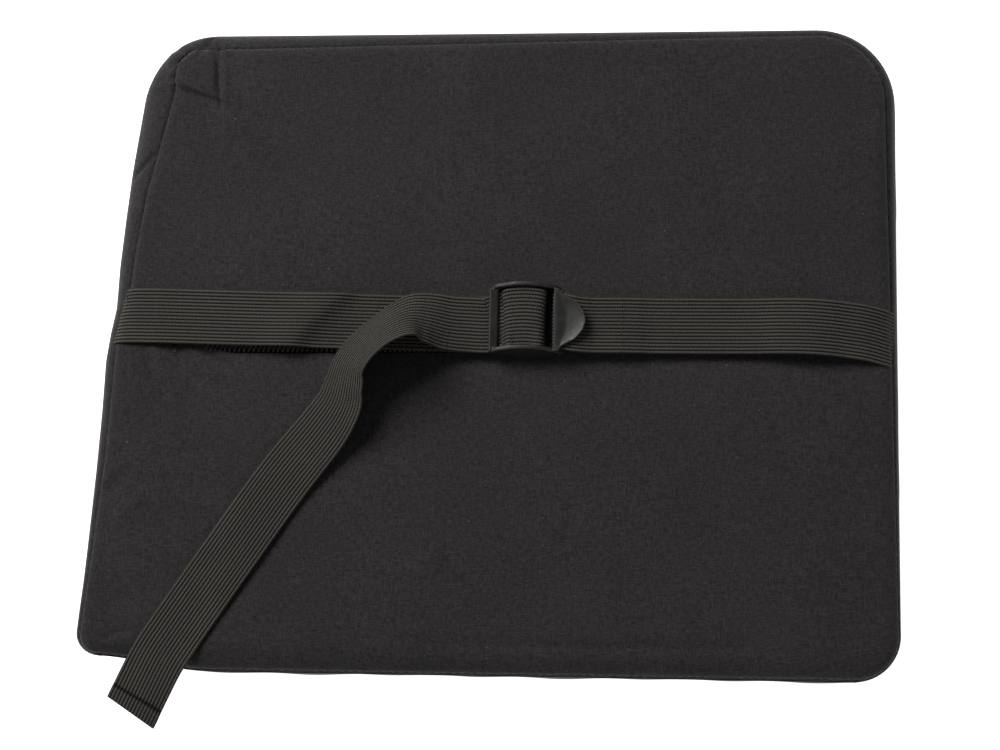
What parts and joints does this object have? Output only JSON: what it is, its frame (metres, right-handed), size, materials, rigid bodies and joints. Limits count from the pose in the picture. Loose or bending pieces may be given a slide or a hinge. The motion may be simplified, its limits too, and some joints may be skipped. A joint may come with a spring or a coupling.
{
  "type": "lumbar support cushion",
  "caption": "Lumbar cushion: foam wedge in a zipped black fabric cover, with an elastic chair strap, a ladder-lock buckle and a free strap tail.",
  "frame": {"origin": "on the surface the cushion lies on, below the middle of the whole object's bounding box", "axes": "+Z out of the flat back panel, which faces up while the cushion lies on its front; +Y towards the cushion's top edge; +X to the right as seen from above with the top edge up"},
  "size_m": [0.3634, 0.3154, 0.1199],
  "materials": {
    "cover_fabric": "fine plain weave, matt",
    "mesh_fabric": "spacer mesh, matt",
    "foam": "open-cell memory foam",
    "elastic": "ribbed woven elastic",
    "buckle_plastic": "moulded, satin",
    "zip_tape": "woven tape",
    "zip_coil": "moulded coil",
    "zip_metal": "black enamel",
    "thread": "spun polyester thread"
  },
  "bodies": {
    "cushion": {"foam_core": "foam", "back_panel_upper": "cover_fabric", "back_panel_lower": "cover_fabric", "boxing_strip": "cover_fabric", "front_panel": "mesh_fabric", "zip_tape_upper": "zip_tape", "zip_tape_lower": "zip_tape", "zip_coil_upper": "zip_coil", "zip_coil_lower": "zip_coil", "zip_top_stop_upper": "zip_metal", "zip_top_stop_lower": "zip_metal", "zip_bottom_stop": "zip_metal", "strap_tack_left": "thread", "strap_tack_right": "thread", "back_seam_thread": "thread", "front_seam_thread": "thread", "boxing_joint_thread": "thread", "zip_seam_thread_upper": "thread", "zip_seam_thread_lower": "thread"},
    "strap": {"strap_fixed": "elastic", "strap_adjustable": "elastic", "strap_fixed_stitching": "thread", "hem_stitching": "thread"},
    "buckle": {"buckle": "buckle_plastic"},
    "zip_slider": {"zip_slider": "zip_metal"},
    "zip_pull": {"zip_pull": "zip_metal"}
  },
  "joints": [
    {"name": "strap_stretch", "type": "slide", "parent": "cushion", "child": "strap", "axis": [0, 0, 1], "range_m": [0, 0.05], "stiffness_N_per_m": 60, "deforming": ["strap_fixed", "strap_adjustable"]},
    {"name": "buckle_tilt", "type": "hinge", "parent": "strap", "child": "buckle", "pos_m": [0.00199, 0.01952, 0.0959], "axis": [0, -1, 0], "range_deg": [0, 35], "deforming": ["strap_fixed", "strap_adjustable"]},
    {"name": "zip_travel", "type": "slide", "parent": "cushion", "child": "zip_slider", "axis": [-1, 0, 0], "range_m": [0, 0.29]},
    {"name": "zip_pull_tilt", "type": "hinge", "parent": "zip_slider", "child": "zip_pull", "pos_m": [0.16049, 0.01052, 0.09575], "axis": [0, 1, 0], "range_deg": [0, 15]}
  ]
}
